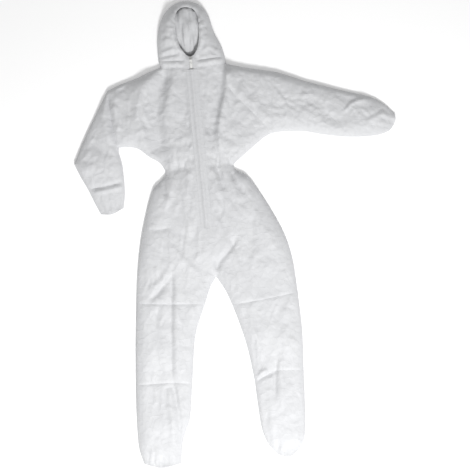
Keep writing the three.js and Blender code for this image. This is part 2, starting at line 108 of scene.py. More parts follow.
def smooth_curve(points, step):
    """Points at even spacing on a Catmull-Rom curve through the given ones."""
    p = np.array(points, float)
    padded = np.vstack([2 * p[0] - p[1], p, 2 * p[-1] - p[-2]])
    fine = []
    for a, b, c, d in zip(padded, padded[1:], padded[2:], padded[3:]):
        t = np.linspace(0, 1, 24, endpoint=False)[:, None]
        fine.append(0.5 * (2 * b + (c - a) * t + (2 * a - 5 * b + 4 * c - d) * t**2
                           + (3 * b - a - 3 * c + d) * t**3))
    fine = np.vstack(fine + [p[-1:]])
    run = np.concatenate([[0], np.cumsum(np.linalg.norm(np.diff(fine, axis=0), axis=1))])
    count = max(2, round(run[-1] / step))
    at = np.linspace(0, run[-1], count + 1)
    return np.column_stack([np.interp(at, run, fine[:, i]) for i in range(fine.shape[1])])


LINES = {name: smooth_curve(np.array(points) * MM, STEP) for name, points in CURVES.items()}


def loop(*names):
    """A closed outline from curves in order; a minus sign before a name reverses the curve."""
    points = []
    for name in names:
        line = LINES[name[1:]][::-1] if name[0] == "-" else LINES[name]
        points.extend(line[:-1])
    return np.array(points)


PIECES = {
    "hood": (["hood_rim", "-hood_seam"], ["hood_rim"]),
    "torso": (
        ["hood_seam", "collar_left", "armhole_left", "-flank_left", "hip_left", "-crease_left",
         "-crotch_left", "-crotch_right", "-crease_right", "-hip_right", "-underarm_right",
         "-fold_right", "-shoulder_right", "-collar_right"],
        ["collar_left", "flank_left", "hip_left", "crotch_left", "crotch_right", "hip_right",
         "underarm_right", "shoulder_right", "collar_right"],
    ),
    "left_sleeve": (["upper_arm_top", "elbow_left", "-upper_arm_under", "-armhole_left"],
                    ["upper_arm_top", "upper_arm_under"]),
    "left_forearm": (["forearm_top", "wrist_left", "-forearm_under", "-elbow_left"],
                     ["forearm_top", "forearm_under"]),
    "right_sleeve": (["fold_right", "sleeve_inner", "-elbow_right", "-sleeve_outer"],
                     ["sleeve_inner", "sleeve_outer"]),
    "right_forearm": (["elbow_right", "forearm_inner", "-wrist_right", "-forearm_outer"],
                      ["forearm_inner", "forearm_outer"]),
    "right_thigh": (["crease_right", "thigh_right_inner", "-knee_right", "-thigh_right_outer"],
                    ["thigh_right_inner", "thigh_right_outer"]),
    "right_shin": (["knee_right", "shin_right_inner", "-ankle_right", "-shin_right_outer"],
                   ["shin_right_inner", "shin_right_outer"]),
    "left_thigh": (["crease_left", "thigh_left_outer", "-knee_left", "-thigh_left_inner"],
                   ["thigh_left_outer", "thigh_left_inner"]),
    "left_shin": (["knee_left", "shin_left_outer", "-ankle_left", "-shin_left_inner"],
                  ["shin_left_outer", "shin_left_inner"]),
}
FACE = smooth_curve(np.array([(-47, 622), (-50, 570), (-42, 511), (-22, 473), (-3, 459), (18, 467),
                              (36, 500), (46, 564), (44, 622), (26, 652), (-10, 662), (-36, 648),
                              (-47, 622)]) * MM, STEP * 0.8)[:-1]
SLOT_HALF = 6.5 * MM
SLOT_TOP, SLOT_END = 0.47, -0.229
SLOT = np.array([(-SLOT_HALF, SLOT_END), (SLOT_HALF, SLOT_END), (SLOT_HALF, SLOT_TOP),
                 (-SLOT_HALF, SLOT_TOP)])


# ---------------------------------------------------------------- measures in the plane
def inside(points, outline):
    """Which points lie inside a closed outline."""
    x, y = points[:, 0], points[:, 1]
    found = np.zeros(len(points), bool)
    for (x0, y0), (x1, y1) in zip(outline, np.roll(outline, -1, axis=0)):
        crosses = (y0 > y) != (y1 > y)
        if y1 != y0:
            found ^= crosses & (x < (x1 - x0) * (y - y0) / (y1 - y0) + x0)
    return found


def to_line(points, line):
    """The signed distance to a polyline, positive on its left, and how far along it that is."""
    best = np.full(len(points), 1e9)
    sign = np.ones(len(points))
    place = np.zeros(len(points))
    steps = np.linalg.norm(np.diff(line, axis=0), axis=1)
    total, before = steps.sum(), 0.0
    for (ax, ay), (bx, by), length in zip(line, line[1:], steps):
        dx, dy = (bx - ax) / length, (by - ay) / length
        s = np.clip((points[:, 0] - ax) * dx + (points[:, 1] - ay) * dy, 0, length)
        away = np.hypot(points[:, 0] - ax - s * dx, points[:, 1] - ay - s * dy)
        closer = away < best
        side = dx * (points[:, 1] - ay) - dy * (points[:, 0] - ax)
        best = np.where(closer, away, best)
        sign = np.where(closer, np.where(side >= 0, 1.0, -1.0), sign)
        place = np.where(closer, (before + s) / total, place)
        before += length
    return best * sign, place


EDGE_NAMES = sorted({name for _, edges in PIECES.values() for name in edges})
EDGE_TREE = kdtree.KDTree(sum(len(LINES[n]) * 3 for n in EDGE_NAMES))
for edge_name in EDGE_NAMES:
    for edge_point in smooth_curve(np.array(CURVES[edge_name]) * MM, STEP / 3):
        EDGE_TREE.insert((edge_point[0], edge_point[1], 0), 0)
EDGE_TREE.balance()


def from_edge(points):
    return np.array([EDGE_TREE.find((x, y, 0))[2] for x, y in points])


def smoothstep(t):
    t = np.clip(t, 0, 1)
    return t * t * (3 - 2 * t)


# ---------------------------------------------------------------- height of the front
# Height of the puffed suit round a place: x, y, height, all in mm.
LOFT = [
    (0, 560, 62), (-80, 560, 60), (70, 560, 58), (0, 660, 46), (-90, 480, 52), (90, 480, 52),
    (0, 440, 46), (0, 380, 46), (0, 250, 46), (0, 120, 46), (0, 0, 45), (0, -120, 46),
    (0, -240, 46), (-150, 380, 44), (-160, 260, 43), (-150, 120, 40), (110, 330, 44),
    (100, 150, 43), (-290, 330, 36), (-300, 180, 36), (220, 300, 42), (240, 130, 34),
    (300, 240, 38), (450, 210, 35), (600, 165, 35), (720, 145, 32), (790, 128, 24), (812, 126, 17),
    (-430, 170, 34), (-420, 50, 36), (-390, -50, 30), (-385, -110, 22), (-383, -150, 14),
    (-110, 5, 34), (100, 5, 34), (-150, -150, 42), (170, -150, 42), (-180, -350, 42),
    (200, -350, 42), (30, -330, 44), (18, -420, 30), (-170, -540, 36), (210, -555, 36),
    (-220, -700, 37), (235, -700, 37), (-235, -870, 28), (240, -870, 28), (-255, -1000, 33),
    (245, -1000, 33), (-275, -1130, 27), (245, -1130, 27), (-280, -1200, 15), (250, -1205, 14),
]
EDGE_HEIGHT = 5 * MM
ROUNDING = 62 * MM  # how far in from the edge the front is still rising


def loft_at(points):
    places = np.array([(x, y) for x, y, _ in LOFT]) * MM
    heights = np.array([h for *_, h in LOFT]) * MM
    away = np.linalg.norm(points[:, None, :] - places[None], axis=2)
    weight = 1 / (away**2 + (25 * MM) ** 2) ** 1.6
    return (weight * heights).sum(1) / weight.sum(1)


# Folds and creases: points in mm, width in mm to the left and to the right, height in mm (a
# valley is negative), and whether the crest is sharp.
FOLDS = [
    # the sleeve seams sink in beside the chest
    ([(-92, 418), (-122, 372), (-144, 318), (-158, 250), (-162, 190), (-160, 120), (-150, 60)],
     30, 46, -24, False),
    ([(-116, 412), (-182, 362), (-222, 300), (-240, 220), (-222, 140)], 22, 30, 9, False),
    ([(142, 408), (140, 350), (128, 290), (104, 215), (86, 140), (80, 60)], 26, 12, 15, False),
    ([(112, 400), (108, 330), (92, 260), (66, 180), (52, 110)], 26, 26, -8, False),
    ([(139, 340), (146, 315), (184, 264), (230, 208), (267, 164), (298, 118)], 8, 16, -4, True),
    ([(176, 312), (220, 262), (262, 212), (300, 170)], 16, 22, 4, False),
    ([(170, 395), (230, 372), (300, 352), (400, 322)], 14, 26, 4, False),
    ([(-50, 408), (-46, 320), (-44, 230), (-52, 150)], 26, 22, -6, False),
    ([(40, 408), (46, 330), (44, 250), (40, 180)], 18, 22, -4.5, False),
    ([(-88, 380), (-96, 300), (-104, 220)], 22, 22, 4, False),
    ([(-40, 96), (0, 84), (36, 96)], 14, 12, 5, False),
    ([(-44, 40), (-8, 36), (26, 44)], 12, 12, -5, False),
    ([(8, 92), (11, 60), (10, 24)], 8, 8, -3, False),
    # pressed creases across the left sleeve
    ([(320, 370), (312, 290), (306, 200), (296, 120)], 5, 6, -3.4, True),
    ([(467, 311), (458, 210), (447, 110)], 5, 6, -2.2, True),
    ([(618, 258), (612, 200), (604, 130), (600, 74)], 5, 6, -3.4, True),
    ([(352, 262), (368, 230), (372, 196), (358, 166)], 8, 12, 5, False),
    ([(330, 300), (352, 262)], 8, 10, 4, False),
    ([(606, 176), (640, 204), (676, 216), (712, 220)], 8, 9, 7, False),
    ([(630, 150), (646, 182), (664, 156), (682, 178), (700, 152)], 7, 7, 4, False),
    ([(690, 112), (720, 134), (762, 150), (800, 136)], 12, 12, 5, False),
    ([(520, 180), (560, 150), (600, 140)], 12, 18, -4, False),
    # right sleeve
    ([(-354, 353), (-351, 265), (-347, 195), (-337, 142), (-329, 117)], 12, 8, -12, True),
    ([(-372, 330), (-378, 262), (-374, 196), (-362, 150)], 14, 18, 7, False),
    ([(-331, 300), (-326, 236), (-322, 180)], 12, 12, 6, False),
    ([(-300, 362), (-278, 300), (-270, 230)], 16, 22, -5, False),
    ([(-470, -42), (-400, -36), (-321, -24)], 7, 10, -8, True),
    ([(-462, -58), (-396, -54), (-322, -42)], 8, 10, 5, False),
    ([(-498, 30), (-452, 48), (-400, 46), (-352, 58)], 22, 30, 3, False),
    ([(-440, 150), (-410, 118), (-372, 96)], 14, 18, -5, False),
    ([(-436, -88), (-420, -120), (-410, -150)], 7, 8, -4, False),
    ([(-380, -70), (-376, -110), (-380, -150)], 8, 8, 4, False),
    # neck, collar and hood
    ([(-128, 428), (-60, 417), (4, 412), (72, 412), (143, 418)], 5, 5, -2.6, True),
    ([(-133, 452), (-60, 446), (4, 442), (72, 442), (141, 447)], 5, 5, -3.2, True),
    ([(-130, 440), (-60, 432), (4, 427), (72, 427), (141, 434)], 9, 9, 4, False),
    ([(-132, 466), (-90, 470), (-41, 474)], 7, 7, -6, False),
    ([(-70, 500), (-84, 560), (-78, 620), (-50, 660)], 12, 18, 5, False),
    ([(-112, 520), (-100, 470)], 12, 12, -5, False),
    ([(70, 480), (84, 540), (78, 600), (56, 645)], 12, 14, 5, False),
    ([(100, 470), (112, 520), (100, 580)], 12, 12, -4, False),
    ([(-112, 560), (-98, 610), (-66, 655), (-24, 674)], 8, 10, -6, False),
    ([(-28, 668), (-24, 684)], 6, 6, -4, False),
    ([(-64, 590), (-62, 545), (-50, 505), (-26, 470)], 9, 9, 7, False),
    ([(60, 590), (56, 545), (46, 505), (24, 468)], 8, 9, 5, False),
    ([(-120, 478), (-78, 492), (-44, 486)], 9, 9, 6, False),
    ([(118, 470), (84, 486), (50, 480)], 9, 9, 5, False),
    ([(-118, 536), (-92, 548), (-70, 540)], 9, 8, -4, False),
    ([(94, 604), (80, 580), (66, 570)], 8, 8, -4, False),
    # waist and hips
    ([(-60, 82), (-20, 60), (30, 70), (72, 52)], 16, 16, 5, False),
    ([(-120, 60), (-88, 38), (-40, 44)], 14, 14, 4, False),
    ([(66, -12), (78, -52), (90, -100)], 9, 13, -7, False),
    ([(46, -16), (58, -66), (60, -120)], 12, 12, 5, False),
    ([(124, -26), (146, -76), (170, -128)], 9, 12, -6, False),
    ([(100, -20), (118, -80), (136, -150)], 12, 12, 6, False),
    ([(-176, -34), (-160, -60), (-150, -100)], 10, 12, -6, False),
    ([(-120, -24), (-132, -80), (-160, -150)], 14, 16, 5, False),
    ([(-232, -233), (-190, -236), (-150, -232)], 8, 10, -5, True),
    ([(-60, -60), (-80, -150), (-70, -260)], 18, 22, 4, False),
    ([(50, -180), (76, -250), (100, -330)], 18, 14, -5, False),
    ([(190, -190), (232, -270), (262, -360)], 20, 24, 4, False),
    ([(116, -302), (84, -345), (37, -391), (18, -430)], 12, 12, -9, False),
    ([(96, -318), (118, -360), (128, -402)], 12, 14, -5, False),
    ([(-150, -300), (-110, -370), (-50, -430)], 16, 20, 4, False),
    # right leg
    ([(-319, -529), (-180, -545), (-37, -557)], 5, 6, -2.4, True),
    ([(-260, -519), (-212, -478), (-160, -425)], 8, 14, -7, False),
    ([(-240, -470), (-200, -440), (-176, -400)], 12, 12, 5, False),
    ([(-158, -405), (-172, -520), (-190, -700), (-201, -850)], 9, 14, -6, False),
    ([(-140, -420), (-150, -540), (-166, -700), (-178, -840)], 14, 16, 5, False),
    ([(-353, -862), (-199, -867), (-121, -880)], 5, 7, -3.2, True),
    ([(-199, -866), (-190, -960), (-189, -1061), (-214, -1190)], 8, 12, -8, False),
    ([(-222, -880), (-216, -980), (-216, -1080)], 14, 14, 5, False),
    ([(-300, -600), (-286, -700), (-300, -820)], 22, 26, 3, False),
    # left leg
    ([(73, -571), (210, -560), (347, -544)], 5, 6, -2.4, True),
    ([(136, -896), (180, -876), (231, -857)], 8, 8, -7, False),
    ([(231, -857), (341, -865)], 5, 6, -2.6, True),
    ([(235, -813), (222, -880), (211, -976)], 8, 12, -6, False),
    ([(252, -800), (246, -880), (238, -1000)], 12, 14, 5, False),
    ([(150, -880), (166, -860), (190, -850)], 8, 8, 6, False),
    ([(300, -600), (262, -680), (270, -780)], 22, 24, 3, False),
    ([(130, -640), (160, -720), (172, -800)], 16, 18, 4, False),
]


def fold_height(points, spec):
    line, left, right, height, sharp = spec
    track = smooth_curve(np.array(line) * MM, 12 * MM)
    away, place = to_line(points, track)
    width = np.where(away >= 0, left, right) * MM
    share = np.abs(away) / width
    shape = np.exp(-share) if sharp else np.exp(-(share**2))
    ends = smoothstep(place / 0.12) * smoothstep((1 - place) / 0.12)
    beyond = np.exp(-((np.abs(away) / (3 * width)) ** 4))
    return height * MM * shape * (0.35 + 0.65 * ends) * beyond


def noise_at(points, scale, seed, depth=3):
    """Soft noise from -1 to 1."""
    return np.array([noise.fractal(Vector((x / scale, y / scale, seed)), 0.9, 2.0, depth)
                     for x, y in points])


def facets(points, scale, seed):
    """Flat facets that meet along sharp lines, as crumpled nonwoven has: from 0 to about 1."""
    warp = noise_at(points, 2.2 * scale, seed + 9, 2) * 0.5
    out = np.empty(len(points))
    for i, (x, y) in enumerate(points):
        at = Vector((x / scale + warp[i], y / scale - warp[i], seed))
        near = noise.voronoi(at, distance_metric="DISTANCE")[0]
        out[i] = near[1] - near[0]
    return out


WAIST_Y = 4 * MM
PLEAT = 13 * MM  # spacing of the pleats on an elastic


def gathers(points, across, away, reach, pitch=PLEAT):
    """Uneven pleats that run out of an elastic and fade away from it."""
    wander = noise_at(points, 45 * MM, 4.5, 2) * 1.3
    out = np.array([noise.noise(Vector((a / pitch * 1.3 + w, b / (2.2 * reach), 6.5)))
                    for a, b, w in zip(across, away, wander)])
    return 1.9 * out * np.exp(-((away / reach) ** 2))


def gather_height(points):
    x, y = points[:, 0], points[:, 1]
    trunk = np.abs(x) < 0.2
    height = 3.6 * MM * gathers(points, x, y - WAIST_Y, 36 * MM) * trunk
    height -= 4.5 * MM * np.exp(-(((y - WAIST_Y) / (16 * MM)) ** 2)) * trunk
    wrist, _ = to_line(points, LINES["wrist_left"])
    height += 2.2 * MM * gathers(points, y, wrist, 26 * MM, 9 * MM) * (x > 0.7)
    wrist, _ = to_line(points, LINES["wrist_right"])
    height += 2.0 * MM * gathers(points, x, wrist, 22 * MM, 10 * MM) * (x < -0.3)
    for name in ("ankle_right", "ankle_left"):
        ankle, _ = to_line(points, LINES[name])
        height += 2.6 * MM * gathers(points, x, ankle, 38 * MM, 11 * MM) * (y < -1)
    return height


ZIP_LOFT = 46 * MM  # height of the front along the zip
ZIP_FLAT = 21 * MM  # half the width that is flat there
ZIP_FADE = 15 * MM  # over which the flat part runs out


def drag_lines(points):
    """Long shallow wrinkles that run down the trunk, the legs and the sleeves."""
    x, y = points[:, 0], points[:, 1]
    total = np.zeros(len(points))
    left_sleeve = smoothstep((x - 0.2) / 0.1) * (y > 0)
    right_sleeve = smoothstep((-x - 0.3) / 0.06) * (y > -0.2)
    trunk_and_legs = 1 - left_sleeve - right_sleeve
    for angle, share, height, seed in ((-91, trunk_and_legs, 3.0 * MM, 1.5),
                                       (-15, left_sleeve, 1.6 * MM, 3.5),
                                       (-105, right_sleeve, 2.0 * MM, 5.5)):
        along_x, along_y = math.cos(math.radians(angle)), math.sin(math.radians(angle))
        run, across = x * along_x + y * along_y, y * along_x - x * along_y
        wander = noise_at(points, 130 * MM, seed) * 1.1
        lines = np.array([noise.noise(Vector((a / (34 * MM) + w, b / (150 * MM), seed)))
                          for a, b, w in zip(across, run, wander)])
        total += share * (1 - 2 * np.abs(lines)) * height
    return total


def rim_height(points):
    """Small pleats round the face opening, drawn in by its elastic, and a rim that rolls in."""
    x, y = points[:, 0], points[:, 1]
    away, _ = to_line(points, np.vstack([FACE, FACE[:1]]))
    away = np.abs(away)
    turn = np.arctan2(y - 0.56, x)
    near = np.array([noise.noise(Vector((a * 7, d / (60 * MM), 2.5))) for a, d in zip(turn, away)])
    pleats = 5 * MM * near * np.exp(-((away / (28 * MM)) ** 2))
    return (pleats - 5 * MM * np.exp(-((away / (6 * MM)) ** 2))) * (y > 0.452)


def front_height(points):
    edge = from_edge(points)
    loft = loft_at(points)
    rise = np.sqrt(np.clip(1 - (1 - np.clip(edge / ROUNDING, 0, 1)) ** 2, 0, 1))
    detail = sum(fold_height(points, spec) for spec in FOLDS)
    detail = detail + gather_height(points)
    crumpled = 1 + smoothstep((points[:, 1] + 0.05) / 0.1)  # the trunk more than the legs
    detail += 4.0 * MM * noise_at(points, 150 * MM, 1.3)
    detail += 3.8 * MM * (facets(points, 74 * MM, 2.1) - 0.3) * crumpled
    detail += 2.0 * MM * (facets(points, 30 * MM, 5.7) - 0.3) * crumpled
    detail += 1.0 * MM * (facets(points, 15 * MM, 6.7) - 0.3)
    detail += rim_height(points) + drag_lines(points)
    shoulder = smoothstep(edge / (30 * MM))
    height = EDGE_HEIGHT + (loft - EDGE_HEIGHT) * rise + detail * (0.12 + 0.88 * shoulder)
    # flat along the zip, so that the slider can run
    x, y = points[:, 0], points[:, 1]
    along_zip = smoothstep((y + 0.30) / 0.05) * (y < 0.4485)
    flat = (1 - smoothstep((np.abs(x) - ZIP_FLAT) / ZIP_FADE)) * along_zip
    height = height * (1 - flat) + ZIP_LOFT * flat
    return np.maximum(height, EDGE_HEIGHT * 0.8)


def back_height(points):
    edge = from_edge(points)
    detail = np.maximum(0, facets(points, 60 * MM, 3.3) * 2.6 * MM + noise_at(points, 90 * MM, 8) * MM)
    inner = 0.8 * MM + detail * smoothstep(edge / (25 * MM))
    # the crown of the hood has sunk in, and shows through the face opening
    x, y = points[:, 0], points[:, 1]
    sunk = np.exp(-((x / (88 * MM)) ** 2) - (((y - 0.580) / (110 * MM)) ** 2))
    sunk = sunk * smoothstep((y - 0.452) / 0.03) * smoothstep(edge / (40 * MM))
    folds = np.array([noise.noise(Vector((a / (13 * MM), b / (60 * MM), 5.5)))
                      for a, b in zip(x, y)])
    inner = inner + sunk * (50 * MM + 17 * MM * folds)
    return EDGE_HEIGHT + (inner - EDGE_HEIGHT) * smoothstep(edge / (9 * MM))


# ---------------------------------------------------------------- making meshes
def object_of(name, bm):
    mesh = bpy.data.meshes.new(name)
    bm.to_mesh(mesh)
    bm.free()
    obj = bpy.data.objects.new(name, mesh)
    bpy.context.scene.collection.objects.link(obj)
    mesh.polygons.foreach_set("use_smooth", [True] * len(mesh.polygons))
    return obj


RIM_ANGLE = math.radians(52)  # edges that turn more than this look sharp


def walled(obj, thickness, offset=-1.0):
    """Gives a sheet its thickness, with crisp edges round its rim."""
    wall = obj.modifiers.new("Wall", "SOLIDIFY")
    wall.thickness = thickness
    wall.offset = offset
    wall.use_rim = True
    depsgraph = bpy.context.evaluated_depsgraph_get()
    mesh = bpy.data.meshes.new_from_object(obj.evaluated_get(depsgraph))
    obj.modifiers.clear()
    obj.data = mesh
    mesh.set_sharp_from_angle(angle=RIM_ANGLE)
    return obj


def plan_of(outline, holes, step):
    """Points and triangles that fill an outline but not its holes."""
    lows, highs = outline.min(0), outline.max(0)
    rows = int((highs[1] - lows[1]) / (step * 0.866)) + 1
    grid = []
    for row in range(rows):
        xs = np.arange(lows[0] + (row % 2) * step / 2, highs[0], step)
        grid.append(np.column_stack([xs, np.full(len(xs), lows[1] + row * step * 0.866)]))
    grid = np.vstack(grid)
    grid = grid[inside(grid, outline)]
    rings = [outline, *holes]
    for ring in rings:
        away, _ = to_line(grid, np.vstack([ring, ring[:1]]))
        grid = grid[np.abs(away) > 0.62 * step]
    points, edges = [], []
    for ring in rings:
        first = len(points)
        points.extend(ring)
        edges += [(first + i, first + (i + 1) % len(ring)) for i in range(len(ring))]
    points.extend(grid)
    made = geometry.delaunay_2d_cdt([Vector(p) for p in points], edges, [], 0, 1e-6)
    flat = np.array([tuple(v) for v in made[0]])
    faces = np.array([f for f in made[2] if len(f) == 3])
    middles = flat[faces].mean(1)
    return flat, faces[inside(middles, outline)]


def fabric_piece(name):
    """Front and back of one piece, sewn together along its edges and open elsewhere."""
    names, sewn_edges = PIECES[name]
    outline = loop(*names)
    holes = {"torso": [SLOT], "hood": [FACE, SLOT]}.get(name, [])
    flat, faces = plan_of(outline, holes, STEP)
    middles = flat[faces].mean(1)
    in_front = ~np.any([inside(middles, hole) for hole in holes], axis=0) if holes else None
    front, back = front_height(flat), back_height(flat)
    if name == "hood":  # the sunk crown stays just under the front
        throat = 12 * MM * smoothstep((0.51 - flat[:, 1]) / 0.045)
        back = np.minimum(back, np.maximum(front - 2.5 * MM - throat, 0.8 * MM))
    sewn = kdtree.KDTree(sum(len(LINES[n]) for n in sewn_edges))
    for n in sewn_edges:
        for x, y in LINES[n]:
            sewn.insert((x, y, 0), 0)
    sewn.balance()
    bm = bmesh.new()
    upper = [bm.verts.new((x, y, z)) for (x, y), z in zip(flat, front)]
    lower = []
    for (x, y), z, top in zip(flat, back, upper):
        joined = sewn.find((x, y, 0))[2] < 1e-5
        lower.append(top if joined else bm.verts.new((x, y, z)))
    for i, (a, b, c) in enumerate(faces):
        turn = np.cross(flat[b] - flat[a], flat[c] - flat[a])
        if turn < 0:
            b, c = c, b
        if in_front is None or in_front[i]:
            bm.faces.new((upper[a], upper[b], upper[c]))
        if not {lower[a], lower[b], lower[c]} <= {upper[a], upper[b], upper[c]}:
            bm.faces.new((lower[a], lower[c], lower[b]))
    bmesh.ops.delete(bm, geom=[v for v in bm.verts if not v.link_faces], context="VERTS")
    return object_of(name, bm)


def ribbon(name, one, other):
    """A strip between two rows of points."""
    bm = bmesh.new()
    left = [bm.verts.new(p) for p in one]
    right = [bm.verts.new(p) for p in other]
    for a, b, c, d in zip(left, left[1:], right[1:], right):
        bm.faces.new((a, b, c, d))
    bmesh.ops.recalc_face_normals(bm, faces=bm.faces)
    return object_of(name, bm)


def on_front(points, lift=0.0):
    return [(x, y, z + lift) for (x, y), z in zip(points, front_height(np.array(points)))]


def on_back(points, lift=0.0):
    return [(x, y, z + lift) for (x, y), z in zip(points, back_height(np.array(points)))]


def stitches(name, line, lift, heights_on=front_height, pitch=4.2 * MM):
    """A row of small raised stitches along a line in mm, at the heights that a function gives."""
    track = smooth_curve(np.array(line) * MM, pitch)
    ahead = np.gradient(track, axis=0)
    ahead /= np.linalg.norm(ahead, axis=1)[:, None]
    bm = bmesh.new()
    for (x, y), (dx, dy), z in zip(track, ahead, heights_on(track)):
        made = bmesh.ops.create_icosphere(bm, subdivisions=1, radius=0.5)
        bmesh.ops.scale(bm, vec=(pitch * 0.66, 0.8 * MM, 0.55 * MM), verts=made["verts"])
        turn = math.atan2(dy, dx)
        bmesh.ops.rotate(bm, verts=made["verts"], cent=(0, 0, 0),
                         matrix=Matrix.Rotation(turn, 3, "Z"))
        bmesh.ops.translate(bm, vec=(x, y, z + lift), verts=made["verts"])
    return object_of(name, bm)


# ---------------------------------------------------------------- materials
def group(name, inputs, outputs):
    """A node group with named sockets: its tree, its input node and its output node."""
    tree = bpy.data.node_groups.new(name, "ShaderNodeTree")
    for label, kind, value in inputs:
        socket = tree.interface.new_socket(label, in_out="INPUT", socket_type=kind)
        if value is not None:
            socket.default_value = value
    for label, kind in outputs:
        tree.interface.new_socket(label, in_out="OUTPUT", socket_type=kind)
    return tree, tree.nodes.new("NodeGroupInput"), tree.nodes.new("NodeGroupOutput")


def node(tree, kind, links=(), **settings):
    """A node with its settings; links are pairs of an input's name or number and what feeds it."""
    made = tree.nodes.new(kind)
    for key, value in settings.items():
        setattr(made, key, value)
    for key, source in links:
        if isinstance(source, bpy.types.NodeSocket):
            tree.links.new(source, made.inputs[key])
        else:
            made.inputs[key].default_value = source
    return made


def bonded_web():
    """Point-bonded web: rows of small pressed dots, with fibres between them."""
    tree, given, out = group(
        "BondedWeb",
        [("Vector", "NodeSocketVector", None), ("Pitch", "NodeSocketFloat", 1.6),
         ("Fibre", "NodeSocketFloat", 0.35)],
        [("Height", "NodeSocketFloat")],
    )
    per_metre = node(tree, "ShaderNodeMath", [(0, 1000.0), (1, given.outputs["Pitch"])],
                     operation="DIVIDE")
    scaled = node(tree, "ShaderNodeVectorMath",
                  [(0, given.outputs["Vector"]), (3, per_metre.outputs[0])], operation="SCALE")
    turned = node(tree, "ShaderNodeVectorRotate", [(0, scaled.outputs[0]), ("Angle", 0.785)],
                  rotation_type="Z_AXIS")
    dots = node(tree, "ShaderNodeTexVoronoi", [("Vector", turned.outputs[0]), ("Scale", 1.0),
                                               ("Randomness", 0.12)], voronoi_dimensions="2D")
    pressed = node(tree, "ShaderNodeMapRange", [(0, dots.outputs["Distance"]), (1, 0.16), (2, 0.42),
                                                (3, 0.0), (4, 1.0)], interpolation_type="SMOOTHSTEP")
    fibres = node(tree, "ShaderNodeTexNoise", [("Vector", given.outputs["Vector"]), ("Scale", 900.0),
                                               ("Detail", 2.0), ("Distortion", 1.2)])
    share = node(tree, "ShaderNodeMath", [(0, fibres.outputs["Fac"]), (1, given.outputs["Fibre"])],
                 operation="MULTIPLY")
    height = node(tree, "ShaderNodeMath", [(0, pressed.outputs[0]), (1, share.outputs[0])],
                  operation="ADD")
    tree.links.new(height.outputs[0], out.inputs["Height"])
    return tree


def handling():
    """Marks of packing and handling: small creases, and soft drifts of tone."""
    tree, given, out = group(
        "Handling",
        [("Vector", "NodeSocketVector", None), ("Crease size", "NodeSocketFloat", 40.0)],
        [("Height", "NodeSocketFloat"), ("Drift", "NodeSocketFloat"), ("Worn", "NodeSocketFloat")],
    )
    bend = node(tree, "ShaderNodeTexNoise", [("Vector", given.outputs["Vector"]), ("Scale", 14.0),
                                             ("Detail", 3.0)])
    pushed = node(tree, "ShaderNodeVectorMath", [(0, bend.outputs["Color"]), (1, (0.03, 0.03, 0.03))],
                  operation="MULTIPLY")
    moved = node(tree, "ShaderNodeVectorMath", [(0, given.outputs["Vector"]), (1, pushed.outputs[0])],
                 operation="ADD")
    cells = node(tree, "ShaderNodeTexVoronoi",
                 [("Vector", moved.outputs[0]), ("Scale", given.outputs["Crease size"])],
                 feature="DISTANCE_TO_EDGE", voronoi_dimensions="2D")
    ridge = node(tree, "ShaderNodeMapRange", [(0, cells.outputs["Distance"]), (1, 0.0), (2, 0.12),
                                              (3, 1.0), (4, 0.0)], interpolation_type="SMOOTHSTEP")
    ripple = node(tree, "ShaderNodeTexNoise", [("Vector", given.outputs["Vector"]), ("Scale", 46.0),
                                               ("Detail", 4.0), ("Roughness", 0.55)])
    soft = node(tree, "ShaderNodeMath", [(0, ripple.outputs["Fac"]), (1, 0.5)],
                operation="MULTIPLY")
    height = node(tree, "ShaderNodeMath", [(0, ridge.outputs[0]), (1, 0.5), (2, soft.outputs[0])],
                  operation="MULTIPLY_ADD")
    drift = node(tree, "ShaderNodeTexNoise", [("Vector", given.outputs["Vector"]), ("Scale", 5.0),
                                              ("Detail", 2.0)])
    worn = node(tree, "ShaderNodeMapRange", [(0, ripple.outputs["Fac"]), (1, 0.62), (2, 0.8),
                                             (3, 0.0), (4, 1.0)])
    tree.links.new(height.outputs[0], out.inputs["Height"])
    tree.links.new(drift.outputs["Fac"], out.inputs["Drift"])
    tree.links.new(worn.outputs[0], out.inputs["Worn"])
    return tree


BONDED_WEB = bonded_web()
HANDLING = handling()


